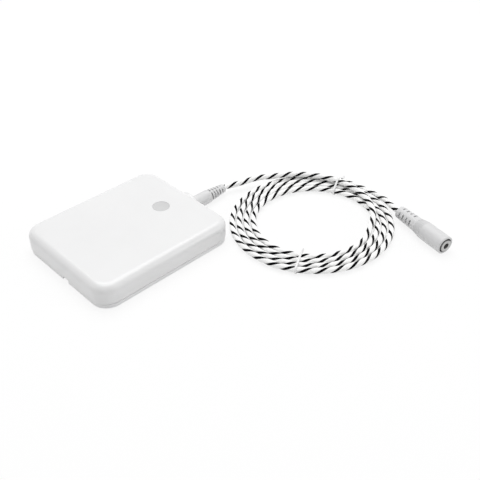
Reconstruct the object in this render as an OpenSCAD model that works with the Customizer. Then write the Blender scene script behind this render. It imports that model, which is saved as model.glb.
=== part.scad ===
// Water leak sensor: a flat battery box with a press button, and a coiled sensing rope.
// Millimetres, Z up. The origin is on the floor under the middle of the box, and the
// rope's plug leaves the box along +X.

/* [Body] */
// Length of the box along X
body_l = 90; // [86:1:98]
// Width of the box along Y
body_w = 76; // [74:1:84]
// Height of the box's top above the floor
body_h = 14.4; // [14.2:0.1:16]
// Radius of the upright corners
corner_r = 10; // [9.5:0.5:12]
// Radius of the rounded top edge
edge_r = 4.5; // [3:0.25:4.75]
// Thickness of the cover's side walls
wall_t = 2; // [1.8:0.1:2.2]
// Thickness of the cover's top
roof_t = 1.6; // [1.2:0.1:1.7]
// Height of the cover's lower edge above the floor
cover_z = 3.4; // [3.2:0.1:3.8]
// Thickness of the base's floor
floor_t = 1.2; // [1:0.1:1.3]
// Thickness of the grip pad under the base
pad_t = 0.5; // [0.3:0.1:0.6]
// How far the base's edge stands in from the cover's edge
base_inset = 0.5; // [0.3:0.1:1]
// Width of the finger notch in the base's edge
notch_w = 5.5; // [4:0.5:12]

/* [Button] */
// Distance of the button's centre from the plug side of the box
button_inset = 21; // [20.5:0.5:26]
// Diameter of the button's face
button_d = 9.7; // [8:0.1:11]
// Travel of the button
press = 0.4; // [0.3:0.05:0.5]

/* [Plug] */
// Diameter of the plug's metal pin
pin_d = 3.5; // [3.4:0.1:3.6]
// Length of the plug's metal pin
pin_l = 14; // [13:0.5:14.5]
// Diameter of the plug's moulded grip
plug_d = 8.3; // [8.1:0.1:8.8]
// Length of the plug's moulded grip
plug_l = 13.6; // [12:0.2:18]
// Length of the slotted sleeve behind the grip
relief_l = 13; // [12:0.2:15]
// Radius of the round boss that the plug meets
boss_r = 9; // [8:0.1:9.2]
// How far the boss stands out from the box's side
boss_proud = 1.1; // [0.7:0.1:1.6]

/* [Rope] */
// Diameter of the sensing rope
rope_d = 3.6; // [3.2:0.1:4]
// Radius of the coil's innermost turn
coil_in = 32.8; // [32:0.2:36]
// Whole turns in the coil
whole_turns = 4; // [3:1:5]
// Space between neighbouring strands of the coil
strand_gap = 0.45; // [0.4:0.05:0.8]
// Thickness of the ties round the coil
tie_t = 0.5; // [0.4:0.1:0.8]
// Width of the ties round the coil
tie_w = 1.3; // [0.8:0.1:2]

/* [End socket] */
// Diameter of the end socket's barrel
socket_d = 10.8; // [10.2:0.1:12]
// Length of the end socket
socket_l = 38; // [36:0.5:44]
// Length of its slotted neck
neck_l = 13.9; // [13.5:0.1:16]
// Length of the ringed flare between neck and barrel
flare_l = 8.8; // [8:0.1:9.5]

/* [Battery and board] */
// Diameter of a battery cell
cell_d = 10.5; // [10:0.1:10.5]
// Length of a battery cell, with its nub
cell_l = 44.5; // [43.5:0.1:45]
// Thickness of the circuit board
board_t = 1; // [0.8:0.1:1.2]

/* [Hidden] */
$fn = 96;
// sides of the tubes that stand for the loose rope, its coil and the springs' wire
rope_sides = 8;
coil_sides = 6;
wire_sides = 6;
// sides of a strand's circle inside the ties
strand_sides = 32;
eps = 0.01;
// how far a cut runs on past the solid
over = 1;
// running clearance round a sliding pin or button
slide_fit = 0.1;
// clearance round the plug's pin in a socket
pin_fit = 0.05;
// clearance between the cover and what it lifts away from
lift_gap = 0.3;
// clearance between pieces that are fixed side by side
fixed_gap = 0.2;
// space between a tie and the strands that it holds
tie_gap = 0.2;

// the base's lip inside the cover, and the shadow line between base and cover
lip_t = 1.2;
lip_h = 3;
lip_out = wall_t + lift_gap;
lip_in = lip_out + lip_t;
seam_h = 0.8;
seam_step = 0.6;
seam_inset = base_inset + seam_step;
notch_depth = 1.2;
notch_y = -2.6;
pad_margin = 6;
pad_inset = base_inset + pad_margin;
pad_r = 6;
floor_z = pad_t + floor_t;
roof_z = body_h - roof_t;
side_x = body_l / 2;
boss_x = side_x + boss_proud;
boss_round = 0.8;
// how far the plug's hole is cut back past the boss's root
cut_back = 2;

// the button: its face, the flange that keeps it in, and the stem that meets the switch
button_x = side_x - button_inset;
flange_lap = 1.3;
flange_d = button_d + 2 * flange_lap;
flange_t = 0.8;
flange_z = roof_z - lift_gap - flange_t;
stem_d = 4;
stem_gap = 0.1;
dish_depth = 0.25;
dish_rim = 0.6;
dish_slope = 0.4;
dish_d1 = button_d - 2 * dish_rim;
dish_d0 = dish_d1 - 2 * dish_slope;

// the jack inside the box, on the plug's axis
plug_up = 0.1;
jack_z = plug_d / 2 + plug_up;
jack_w = 6.6;
jack_l = 12.4;
jack_up = 2.5;
jack_down = jack_z - floor_z - pin_fit;
jack_x = side_x - lip_in - fixed_gap;
jack_end = jack_x - jack_l;
nose_d = 6;
nose_in = 0.4;
nose_x = boss_x - nose_in;
ear = [6, 1.6, 0.8];
ear_back = 2.6;
ear_x = jack_x - ear_back - ear[0];
bore_d = pin_d + 2 * pin_fit;
// the jack's contacts: width, thickness, and the foot on the board
contact_w = 1.6;
contact_t = 0.4;
foot = [contact_w, 2.2, 0.3];
contact_in = 1.4;
contact_back = jack_end + contact_in;
contact_front = jack_x - contact_in;

// the plug: its grip, the slotted sleeve behind it, and the pin's bands from the tip
plug_x = boss_x + lift_gap;
plug_end = plug_x + plug_l + relief_l;
plug_chamfer = 0.4;
relief_in = 0.25;
relief_d0 = plug_d - 2 * relief_in;
relief_wall = 0.9;
relief_d1 = rope_d + 2 * relief_wall;
relief_lip = 0.6;
relief_rows = 5;
relief_first = 0.9;
relief_last = 1.1;
relief_step = (relief_l - relief_first - relief_last) / relief_rows;
relief_turn = 70;
relief_slot = 4.6;
slot_w = 0.8;
slot_depth = 0.9;
tip_x = plug_x - pin_l;
tip_l = 3;
tip_nose = 1.2;
tip_waist = 2.25;
tip_d0 = 1.6;
tip_d1 = 3.2;
tip_d2 = 2.6;
band_end = 7;
ring_l = 0.8;
pin_seat = 6;
sleeve_t = 0.7;
sleeve_in = pin_d - 2 * sleeve_t;
core_t = 0.4;
core_d = sleeve_in - 2 * core_t;

// the battery bay, with the cells side by side and their contacts at both ends
cell_n = 3;
cell_gap = 0.5;
bay_gap = 0.4;
bay_x0 = lip_in - side_x;
bay_x1 = bay_x0 + bay_gap + cell_n * (cell_d + cell_gap);
bay_wall = 1.2;
bay_h = 8;
plate_t = 0.4;
plate_w = 7;
plate_up = 1;
spring_l = 4.5;
spring_wire = 0.6;
spring_turns = 3;
spring_steps = 12;
spring_r0 = 3.4;
spring_r1 = 2;
bay_y = (cell_l + spring_l + 2 * plate_t) / 2;
cell_z = floor_z + cell_d / 2;
nub_d = 5.2;
nub_l = 1;

// the board on its posts, with the screws that hold it
board_up = 2.1;
board_z = floor_z + board_up;
board_top = board_z + board_t;
board_r = 5;
board_gap = 0.5;
board_aside = 2.5;
board_x0 = bay_x1 + bay_wall + board_gap;
board_x1 = side_x - lip_in - board_gap;
board_w = body_w - 2 * (lip_in + board_aside);
screw_inset = 4;
screw_x = [board_x0 + screw_inset, board_x1 - screw_inset];
screw_y = board_w / 2 - screw_inset;
screw_d = 1.7;
screw_l = 2.2;
head_d0 = 3.8;
head_d1 = 3;
head_h = 1.2;
drive = [2.2, 0.5, 0.6];
post_d = 5;
// the strips that join the cells to the board
strip_w = 2.4;
strip_lap = 1.6;
strip_end = board_x0 + strip_lap;

// what stands on the board: length, width and height
switch_w = 6;
switch_h = 3.4;
plunger_d = 3.4;
plunger_up = 1;
plunger_in = 1.2;
switch_top = board_top + switch_h;
led = [3.2, 2.8, 1.4];
led_gap = 1;
led_x = button_x - switch_w / 2 - led_gap - led[0] / 2;
lens_d0 = 2.4;
lens_d1 = 1.8;
lens_h = 0.5;
radio = [13, 18, 0.8];
radio_x = (board_x0 + button_x) / 2;
radio_y = -screw_y + head_d0 / 2 + board_gap + radio[1] / 2;
shield = [11, 12, 2];
shield_inset = 1;
chip = [7, 7, 1.2];
chip_y = board_w / 4;
chip_up = 0.1;
chip_pin = [1.4, 0.4, 0.3];
chip_pin_x = 4;
chip_pitch = 1.27;
chip_pins = 5;

// the coil: the rope crosses over the top from the outside to the inside, drops to the
// floor there, and winds out again in one flat layer
pitch = rope_d + strand_gap;
coil_low = tie_t + tie_gap + rope_d / 2;
coil_start = 74;
coil_end = -8;
turns = whole_turns + (coil_start - coil_end) / 360;
cross_turn = 0.38;
cross_ease = 1.25;
drop_at = 0.29;
drop_turn = 0.15;
coil_out = coil_in + pitch * (turns - cross_turn);
cross_lap = 1.4;
cross_out = coil_out + cross_lap;
coil_back = 32.8;
coil_aside = 12.5;
coil_c = [plug_end + coil_out - coil_back, -coil_out - coil_aside];
rings = 24;
// the hand-wound coil is a little longer one way than the other
squash = 0.025;
squash_turn = -26;

// where the lead runs, from the end of the plug
lead_route = [[0, 0, 0], [2, 0, 0], [5, -1, 0.1], [9.5, -3.2, 0.45], [14.5, -5.3, 1], [18.5, -7.2, 1.6]];
// where the tail runs between its straight ends, from the end of the coil
tail_up = socket_d / 2 - coil_low;
tail_route = [[-0.2, -4, 0.08 * tail_up], [-1.1, -6.3, 0.2 * tail_up], [-3.5, -10.7, 0.5 * tail_up],
  [-5.9, -15.1, 0.8 * tail_up], [-6.9, -17.3, 0.95 * tail_up], [-7.5, -19.3, tail_up]];
// the straight run at each end of the tail
tail_run = 2;

// the end socket: its neck, flare and barrel, and the contacts in its mouth
socket_turn = -103;
socket_way = [cos(socket_turn), sin(socket_turn), 0];
socket_r0 = 3.8;
socket_r1 = 4.3;
socket_lip = 0.6;
socket_round = 0.7;
neck_rows = 4;
neck_first = 3;
neck_step = 3;
neck_turn = 76;
neck_slot = 3.4;
flare_rings = 5;
flare_first = 2.8;
flare_step = (flare_l - flare_first) / flare_rings;
groove_w = 0.45;
groove_depth = 0.25;
mouth_d = 8.6;
mouth_l = 1;
barrel_d = 7;
barrel_proud = 0.5;
insulator_l = 15.6;
insulator_z = socket_l - mouth_l - insulator_l;
insulator_floor = 1.6;
barrel_l = insulator_l - insulator_floor + mouth_l + barrel_proud;
contact_d = 2.2;
contact_l = 0.8;

// shares of a turn at which the ties hold the coil
tie_at = [0.151, 0.624];
tie_tail = 4;

// a rectangle with round corners, about the origin
module round_rect(l, w, r) {
  square([l - 2 * r, w], center = true);
  square([l, w - 2 * r], center = true);
  for (x = [-1, 1], y = [-1, 1])
    translate([x * (l / 2 - r), y * (w / 2 - r)])
      circle(r);
}

// half of the section across a slab's rim, with its top edge rounded
module rim_section(r, h, edge) {
  square([r - edge, h]);
  square([r, h - edge]);
  translate([r - edge, h - edge])
    intersection() {
      circle(edge);
      square(edge);
    }
}

// a slab with round corners and a rounded top edge, standing on z = 0
module soft_slab(l, w, h, r, edge) {
  translate([-l / 2 + r, -w / 2 + r, 0])
    cube([l - 2 * r, w - 2 * r, h]);
  for (i = [0 : 3]) {
    run = i % 2 == 0 ? w - 2 * r : l - 2 * r;
    reach = i % 2 == 0 ? l / 2 - r : w / 2 - r;
    rotate([0, 0, 90 * i])
      translate([reach, run / 2, 0]) {
        rotate([90, 0, 0])
          linear_extrude(run)
            rim_section(r, h, edge);
        rotate_extrude(angle = 90)
          rim_section(r, h, edge);
      }
  }
}

// a cylinder along +X from x0 to x1
module rod_x(d, x0, x1) {
  translate([x0, 0, 0])
    rotate([0, 90, 0])
      cylinder(d = d, h = x1 - x0);
}

function unit(v) = v / norm(v);

// directions along a path, taken between each point's neighbours
function headings(p) =
  [for (i = [0 : len(p) - 1]) unit(p[min(i + 1, len(p) - 1)] - p[max(i - 1, 0)])];

// a tube of diameter d along the points p, which never run along the axis given
module tube(p, d, sides, axis = [0, 0, 1]) {
  h = headings(p);
  n = len(p);
  points = [for (i = [0 : n - 1])
    let (a = unit(cross(axis, h[i])), b = cross(h[i], a))
    for (k = [0 : sides - 1])
      p[i] + d / 2 * (cos(360 * k / sides) * a + sin(360 * k / sides) * b)];
  walls = [for (i = [0 : n - 2], k = [0 : sides - 1])
    let (next = (k + 1) % sides)
    [i * sides + k, (i + 1) * sides + k, (i + 1) * sides + next, i * sides + next]];
  start = [for (k = [0 : sides - 1]) k];
  end = [for (k = [0 : sides - 1]) n * sides - 1 - k];
  polyhedron(points, concat([start], walls, [end]), convexity = 10);
}

module boss(r) {
  translate([0, 0, jack_z])
    rotate([0, 90, 0])
      rotate_extrude() {
        square([r - boss_round, boss_x]);
        square([r, boss_x - boss_round]);
        translate([r - boss_round, boss_x - boss_round])
          circle(boss_round);
      }
}

module top_cover() {
  cut_x = side_x - edge_r - cut_back;
  arch_w = nose_d + 2 * lift_gap;
  color("white")
    difference() {
      union() {
        translate([0, 0, cover_z])
          soft_slab(body_l, body_w, body_h - cover_z, corner_r, edge_r);
        intersection() {
          boss(boss_r);
          translate([side_x - edge_r, -boss_r, cover_z])
            cube([edge_r + boss_proud + over, 2 * boss_r, body_h]);
        }
      }
      translate([0, 0, cover_z - eps])
        soft_slab(body_l - 2 * wall_t, body_w - 2 * wall_t, roof_z - cover_z + eps,
          corner_r - wall_t, edge_r - wall_t);
      translate([button_x, 0, cover_z])
        cylinder(d = button_d + 2 * slide_fit, h = body_h);
      translate([0, 0, jack_z])
        rod_x(arch_w, cut_x, boss_x + over);
      translate([cut_x, -arch_w / 2, cover_z - over])
        cube([boss_x + over - cut_x, arch_w, jack_z - cover_z + over]);
    }
}

// a rim of the base between two distances in from the cover's edge
module rim(outer, inner, z0, z1) {
  translate([0, 0, z0])
    linear_extrude(z1 - z0)
      difference() {
        round_rect(body_l - 2 * outer, body_w - 2 * outer, corner_r - outer);
        round_rect(body_l - 2 * inner, body_w - 2 * inner, corner_r - inner);
      }
}

module base_plate() {
  seat_w = nose_d + 2 * fixed_gap;
  seat_x = side_x - lip_in - over;
  color("whitesmoke")
    difference() {
      union() {
        translate([0, 0, pad_t])
          linear_extrude(floor_t)
            round_rect(body_l - 2 * base_inset, body_w - 2 * base_inset, corner_r - base_inset);
        rim(base_inset, lip_in, pad_t, cover_z - seam_h);
        rim(seam_inset, lip_in, pad_t, cover_z);
        rim(lip_out, lip_in, pad_t, cover_z + lip_h);
        for (y = [bay_y, -bay_y - bay_wall])
          translate([bay_x0 - eps, y, pad_t])
            cube([bay_x1 + bay_wall - bay_x0 + eps, bay_wall, floor_t + bay_h]);
        translate([bay_x1, -bay_y - bay_wall, pad_t])
          cube([bay_wall, 2 * (bay_y + bay_wall), floor_t + bay_h / 2]);
        for (x = screw_x, y = [-screw_y, screw_y])
          translate([x, y, pad_t])
            cylinder(d = post_d, h = board_z - pad_t);
      }
      for (x = screw_x, y = [-screw_y, screw_y])
        translate([x, y, board_z - screw_l - fixed_gap])
          cylinder(d = screw_d + 2 * pin_fit, h = screw_l + over);
      translate([0, 0, jack_z])
        rod_x(seat_w, seat_x, boss_x);
      translate([seat_x, -seat_w / 2, jack_z])
        cube([boss_x - seat_x, seat_w, body_h]);
      translate([-side_x - over, notch_y - notch_w / 2, pad_t - over])
        cube([over + base_inset + notch_depth, notch_w, cover_z + over - pad_t]);
    }
}

module grip_pad() {
  color("dimgray")
    linear_extrude(pad_t)
      round_rect(body_l - 2 * pad_inset, body_w - 2 * pad_inset, pad_r);
}

module status_button() {
  stem_z = switch_top + plunger_up + stem_gap;
  color("lightgray")
    translate([button_x, 0, 0])
      difference() {
        union() {
          translate([0, 0, flange_z])
            cylinder(d = button_d, h = body_h - flange_z);
          translate([0, 0, flange_z])
            cylinder(d = flange_d, h = flange_t);
          translate([0, 0, stem_z])
            cylinder(d = stem_d, h = flange_z + eps - stem_z);
        }
        translate([0, 0, body_h - dish_depth])
          cylinder(d1 = dish_d0, d2 = dish_d1, h = dish_depth + eps);
      }
}

module main_board() {
  mid = (board_x0 + board_x1) / 2;
  cut_w = jack_w + 2 * lift_gap;
  color("darkgreen")
    difference() {
      translate([mid, 0, board_z])
        linear_extrude(board_t)
          round_rect(board_x1 - board_x0, board_w, board_r);
      translate([jack_end - lift_gap, -cut_w / 2, board_z - over])
        cube([side_x - jack_end, cut_w, board_t + 2 * over]);
      for (x = screw_x, y = [-screw_y, screw_y])
        translate([x, y, board_z - over])
          cylinder(d = screw_d + 2 * fixed_gap, h = board_t + 2 * over);
    }
}

module switch_body() {
  color("black")
    translate([button_x, 0, board_top])
      difference() {
        translate([-switch_w / 2, -switch_w / 2, 0])
          cube([switch_w, switch_w, switch_h]);
        translate([0, 0, switch_h - plunger_in - press - lift_gap])
          cylinder(d = plunger_d + 2 * slide_fit, h = switch_h);
      }
}

module switch_plunger() {
  color("gray")
    translate([button_x, 0, switch_top - plunger_in])
      cylinder(d = plunger_d, h = plunger_in + plunger_up);
}

module status_led() {
  color("ivory")
    translate([led_x, 0, board_top]) {
      translate([-led[0] / 2, -led[1] / 2, 0])
        cube(led);
      translate([0, 0, led[2]])
        cylinder(d1 = lens_d0, d2 = lens_d1, h = lens_h);
    }
}

module radio_module() {
  color("navy")
    translate([radio_x - radio[0] / 2, radio_y - radio[1] / 2, board_top])
      cube(radio);
}

module radio_shield() {
  color("silver")
    translate([radio_x - shield[0] / 2, radio_y - radio[1] / 2 + shield_inset, board_top + radio[2]])
      cube(shield);
}

module sense_chip() {
  color("black")
    translate([radio_x, chip_y, board_top]) {
      translate([-chip[0] / 2, -chip[1] / 2, chip_up])
        cube(chip);
      for (x = [-1, 1], i = [0 : chip_pins - 1])
        translate([x * chip_pin_x, (i - (chip_pins - 1) / 2) * chip_pitch, 0])
          translate([-chip_pin[0] / 2, -chip_pin[1] / 2, 0])
            cube(chip_pin);
    }
}

module jack_body() {
  color([0.15, 0.15, 0.16])
    difference() {
      union() {
        translate([jack_end, -jack_w / 2, jack_z - jack_down])
          cube([jack_l, jack_w, jack_down + jack_up]);
        translate([0, 0, jack_z])
          rod_x(nose_d, jack_x - over, nose_x);
        for (y = [jack_w / 2 - eps, -jack_w / 2 - ear[1]])
          translate([ear_x, y, board_top])
            cube(ear + [0, eps, 0]);
      }
      translate([0, 0, jack_z])
        rod_x(bore_d, tip_x - lift_gap, boss_x);
    }
}

module jack_contacts() {
  color("goldenrod")
    for (c = [[contact_back, 1], [contact_back, -1], [contact_front, 1]])
      translate([c[0] - contact_w / 2, 0, board_top])
        scale([1, c[1], 1])
          translate([0, jack_w / 2, 0]) {
            cube([contact_w, contact_t, jack_z + jack_up - board_top]);
            cube(foot);
          }
}

// the middle of cell i along X, and which way its nub points
function cell_x(i) = bay_x0 + bay_gap + cell_d / 2 + i * (cell_d + cell_gap);
function nub_side(i) = i % 2 == 0 ? 1 : -1;

module battery(i) {
  s = nub_side(i);
  color("darkorange")
    translate([cell_x(i), s * (bay_y - plate_t), cell_z])
      rotate([s * 90, 0, 0]) {
        cylinder(d = nub_d, h = nub_l + eps);
        translate([0, 0, nub_l])
          cylinder(d = cell_d, h = cell_l - nub_l);
      }
}

module battery_1() battery(0);
module battery_2() battery(1);
module battery_3() battery(2);

// a spring's wire from its plate to the flat end of cell i
function spring_path(i) =
  let (s = nub_side(i), steps = spring_steps * spring_turns, run = spring_l - spring_wire)
  [for (k = [0 : steps])
    let (q = k / steps, r = spring_r0 + (spring_r1 - spring_r0) * q)
    [cell_x(i) + r * cos(360 * spring_turns * q),
      -s * (bay_y - plate_t - spring_wire / 2 - run * q),
      cell_z + r * sin(360 * spring_turns * q)]];

module battery_springs() {
  color("silver")
    for (i = [0 : cell_n - 1])
      tube(spring_path(i), spring_wire, wire_sides, [0, 1, 0]);
}

// a contact plate at one end of the bay, from x0 to x1
module plate(x0, x1, s) {
  translate([x0, s > 0 ? bay_y - plate_t : -bay_y, floor_z + plate_up])
    cube([x1 - x0, plate_t, bay_h - plate_up]);
}

// a strip that folds over the bay's end wall and runs to the board
module strip(x0, s) {
  out = bay_y + bay_wall;
  top = floor_z + bay_h;
  scale([1, s, 1])
    translate([x0 - plate_w / 2, 0, 0]) {
      translate([0, bay_y - plate_t, top])
        cube([plate_w, bay_wall + 2 * plate_t, plate_t]);
      translate([0, out, board_top])
        cube([plate_w, plate_t, top - board_top + eps]);
      translate([0, out, board_top])
        cube([strip_end - x0 + plate_w / 2, plate_t, strip_w]);
      translate([board_x0 + fixed_gap - x0 + plate_w / 2, out, board_top])
        cube([strip_end - board_x0 - fixed_gap, strip_w, plate_t]);
    }
}

module battery_plates() {
  w = plate_w / 2;
  color("silver") {
    plate(cell_x(0) - w, cell_x(0) + w, 1);
    plate(cell_x(1) - w, cell_x(2) + w, 1);
    plate(cell_x(0) - w, cell_x(1) + w, -1);
    plate(cell_x(2) - w, cell_x(2) + w, -1);
    strip(cell_x(0), 1);
    strip(cell_x(2), -1);
  }
}

module board_screws() {
  color("silver")
    for (x = screw_x, y = [-screw_y, screw_y])
      translate([x, y, 0])
        difference() {
          union() {
            translate([0, 0, board_z - screw_l])
              cylinder(d = screw_d, h = screw_l + board_t + eps);
            translate([0, 0, board_top])
              cylinder(d1 = head_d0, d2 = head_d1, h = head_h);
          }
          for (a = [0, 90])
            rotate([0, 0, a])
              translate([-drive[0] / 2, -drive[1] / 2, board_top + head_h - drive[2]])
                cube(drive + [0, 0, over]);
        }
}

// rows of slots across a sleeve, four round it from an angle on; its axis is +Z here
module sleeve_slots(first, step, rows, r, length, turn) {
  for (i = [0 : rows - 1], a = [0 : 90 : 270])
    rotate([0, 0, turn + a])
      translate([r - slot_depth, -length / 2, first + i * step])
        cube([slot_depth + over, length, slot_w]);
}

module plug_grip() {
  color("gainsboro")
    translate([plug_x, 0, jack_z])
      rotate([0, 90, 0])
        difference() {
          union() {
            cylinder(d1 = plug_d - 2 * plug_chamfer, d2 = plug_d, h = plug_chamfer);
            translate([0, 0, plug_chamfer])
              cylinder(d = plug_d, h = plug_l - 2 * plug_chamfer);
            translate([0, 0, plug_l - plug_chamfer])
              cylinder(d1 = plug_d, d2 = relief_d0, h = plug_chamfer);
            translate([0, 0, plug_l])
              cylinder(d1 = relief_d0, d2 = relief_d1, h = relief_l - relief_lip);
            translate([0, 0, plug_l + relief_l - relief_lip])
              cylinder(d1 = relief_d1, d2 = relief_d1 - relief_lip, h = relief_lip);
          }
          sleeve_slots(plug_l + relief_first, relief_step, relief_rows, (relief_d0 + relief_d1) / 4,
            relief_slot, relief_turn);
          translate([0, 0, -eps])
            cylinder(d = pin_d, h = pin_seat);
        }
}

// the pin's metal sleeve, from inside the grip to its first ring
module plug_sleeve() {
  color("silver")
    translate([0, 0, jack_z])
      difference() {
        rod_x(pin_d, tip_x + band_end, plug_x + pin_seat - eps);
        rod_x(sleeve_in, tip_x + band_end - over, plug_x + pin_seat + over);
      }
}

// black rings that part the pin's tip, middle and sleeve
module plug_insulator() {
  color("black")
    translate([0, 0, jack_z])
      difference() {
        union() {
          rod_x(sleeve_in, tip_x + tip_l, plug_x + pin_seat - eps);
          for (x = [tip_l, band_end - ring_l])
            rod_x(pin_d, tip_x + x, tip_x + x + ring_l);
        }
        rod_x(core_d, tip_x + tip_l - over, plug_x + pin_seat + over);
      }
}

// the pin's middle band, between the two rings
module plug_ring() {
  color("silver")
    translate([0, 0, jack_z])
      difference() {
        rod_x(pin_d, tip_x + tip_l + ring_l, tip_x + band_end - ring_l);
        rod_x(sleeve_in, tip_x + tip_l, tip_x + band_end);
      }
}

// the pin's rounded tip on its core
module plug_tip() {
  color("silver")
    translate([tip_x, 0, jack_z]) {
      rod_x(core_d, tip_waist, pin_l + pin_seat - eps);
      rotate([0, 90, 0]) {
        cylinder(d1 = tip_d0, d2 = tip_d1, h = tip_nose);
        translate([0, 0, tip_nose])
          cylinder(d1 = tip_d1, d2 = tip_d2, h = tip_waist - tip_nose);
        translate([0, 0, tip_waist])
          cylinder(d1 = tip_d2, d2 = pin_d, h = tip_l - tip_waist);
      }
    }
}

// the way out from the coil's middle after t turns
function coil_angle(t) = coil_start - 360 * t;

// distance from the coil's middle after t turns
function coil_radius(t) = (1 + squash * cos(2 * (coil_angle(t) - squash_turn))) * (t < cross_turn
  ? coil_in + (cross_out - coil_in) * pow(1 - t / cross_turn, cross_ease)
  : coil_in + pitch * (t - cross_turn));

// height over the flat layer after t turns
function coil_rise(t) =
  let (q = min(max((t - drop_at) / drop_turn, 0), 1))
  pitch * (1 - q * q * (3 - 2 * q));

function coil_point(t) =
  let (a = coil_angle(t), r = coil_radius(t))
  [coil_c[0] + r * cos(a), coil_c[1] + r * sin(a), coil_low + coil_rise(t)];

coil_steps = ceil(turns * rings);
coil_turns = [for (i = [0 : coil_steps]) coil_point(turns * i / coil_steps)];
entry_way = unit(coil_turns[0] - coil_turns[1]);
exit_way = unit(coil_turns[coil_steps] - coil_turns[coil_steps - 1]);
coil_entry = coil_turns[0] + rope_d * entry_way;
coil_exit = coil_turns[coil_steps] + rope_d * exit_way;
coil_path = concat([coil_entry], coil_turns, [coil_exit]);
lead_path = concat([for (p = lead_route) [plug_end, 0, jack_z] + p],
  [coil_entry + rope_d * entry_way, coil_entry]);
tail_knee = coil_exit + tail_route[len(tail_route) - 1];
tail_end = tail_knee + tail_run * socket_way;
tail_path = concat([coil_exit, coil_exit + tail_run * exit_way],
  [for (p = tail_route) coil_exit + p], [tail_end]);

// the least space between strands more than half a turn apart
coil_gap = min([for (i = [0 : coil_steps], j = [i + rings / 2 : 1 : coil_steps])
  norm(coil_turns[i] - coil_turns[j])]) - rope_d;
echo(coil_gap = coil_gap, coil_exit = coil_exit, tail_end = tail_end);
function path_length(p, i = 1) = i < len(p) ? norm(p[i] - p[i - 1]) + path_length(p, i + 1) : 0;
echo(rope_length = path_length(lead_path) + path_length(coil_path) + path_length(tail_path));

module rope_lead() {
  color("whitesmoke")
    tube(lead_path, rope_d, rope_sides);
}

module rope_coil() {
  color("white")
    tube(coil_path, rope_d, coil_sides);
}

module rope_tail() {
  color("whitesmoke")
    tube(tail_path, rope_d, rope_sides);
}

// the outline round all the strands that pass a share f of a turn, at a distance from them
module strand_outline(f, distance) {
  hull()
    for (t = [f : 1 : turns])
      translate([coil_radius(t), coil_low + coil_rise(t)])
        circle(rope_d / 2 + distance, $fn = strand_sides);
}

// a tie round those strands, with its twisted end from x0 to x1 across the coil
module coil_tie(f, x0, x1) {
  color("white")
    translate([coil_c[0], coil_c[1], 0])
      rotate([90, 0, coil_angle(f)]) {
        linear_extrude(tie_w, center = true)
          difference() {
            strand_outline(f, tie_gap + tie_t);
            strand_outline(f, tie_gap);
          }
        translate([0, coil_low, 0])
          rod_x(tie_w, x0, x1);
      }
}

// the far tie's end points outwards, the near tie's end inwards
module coil_tie_far() {
  f = tie_at[0];
  x = coil_radius(f + floor(turns - f)) + rope_d / 2 + tie_gap + tie_t / 2;
  coil_tie(f, x, x + tie_tail);
}

module coil_tie_near() {
  f = tie_at[1];
  x = coil_radius(f) - rope_d / 2 - tie_gap - tie_t / 2;
  coil_tie(f, x - tie_tail, x);
}

// places an axis of +Z along the end socket, from the rope to the mouth
module at_socket() {
  translate(tail_end)
    rotate([0, 0, socket_turn])
      rotate([0, 90, 0])
        children();
}

module socket_grip() {
  r = socket_d / 2;
  barrel_z = neck_l + flare_l;
  color("gainsboro")
    at_socket()
      difference() {
        union() {
          cylinder(r1 = socket_r0 - socket_lip, r2 = socket_r0, h = socket_lip);
          translate([0, 0, socket_lip])
            cylinder(r1 = socket_r0, r2 = socket_r1, h = neck_l - socket_lip);
          translate([0, 0, neck_l])
            cylinder(r1 = socket_r1, r2 = r, h = flare_l);
          translate([0, 0, barrel_z])
            cylinder(r = r, h = socket_l - barrel_z - socket_round);
          translate([0, 0, socket_l - socket_round])
            cylinder(r1 = r, r2 = r - socket_round, h = socket_round);
        }
        sleeve_slots(neck_first, neck_step, neck_rows, socket_r0, neck_slot, neck_turn);
        for (i = [0 : flare_rings - 1]) {
          z = flare_first + i * flare_step;
          translate([0, 0, neck_l + z])
            rotate_extrude()
              translate([socket_r1 + (r - socket_r1) * z / flare_l - groove_depth, 0])
                square([over, groove_w]);
        }
        translate([0, 0, insulator_z])
          cylinder(d = mouth_d, h = mouth_l + insulator_l + over);
      }
}

module socket_insulator() {
  color("black")
    at_socket()
      translate([0, 0, insulator_z])
        difference() {
          cylinder(d = mouth_d, h = insulator_l);
          translate([0, 0, insulator_floor])
            cylinder(d = barrel_d, h = insulator_l);
          translate([0, 0, insulator_floor - contact_l])
            cylinder(d = contact_d, h = insulator_l);
        }
}

module socket_barrel() {
  color("silver")
    at_socket()
      translate([0, 0, insulator_z + insulator_floor])
        difference() {
          cylinder(d = barrel_d, h = barrel_l);
          translate([0, 0, -over])
            cylinder(d = bore_d, h = barrel_l + 2 * over);
        }
}

module socket_contact() {
  color("goldenrod")
    at_socket()
      translate([0, 0, insulator_z + insulator_floor - contact_l])
        cylinder(d = contact_d, h = contact_l);
}

top_cover();
base_plate();
grip_pad();
status_button();
main_board();
switch_body();
switch_plunger();
status_led();
radio_module();
radio_shield();
sense_chip();
jack_body();
jack_contacts();
battery_1();
battery_2();
battery_3();
battery_springs();
battery_plates();
board_screws();
plug_grip();
plug_sleeve();
plug_insulator();
plug_ring();
plug_tip();
rope_lead();
rope_coil();
rope_tail();
coil_tie_far();
coil_tie_near();
socket_grip();
socket_insulator();
socket_barrel();
socket_contact();
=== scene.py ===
"""Looks of a water leak sensor: a flat battery box with a coiled sensing rope plugged into its side."""

import math

import bpy
import numpy as np
from mathutils import Matrix, Vector


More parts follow.
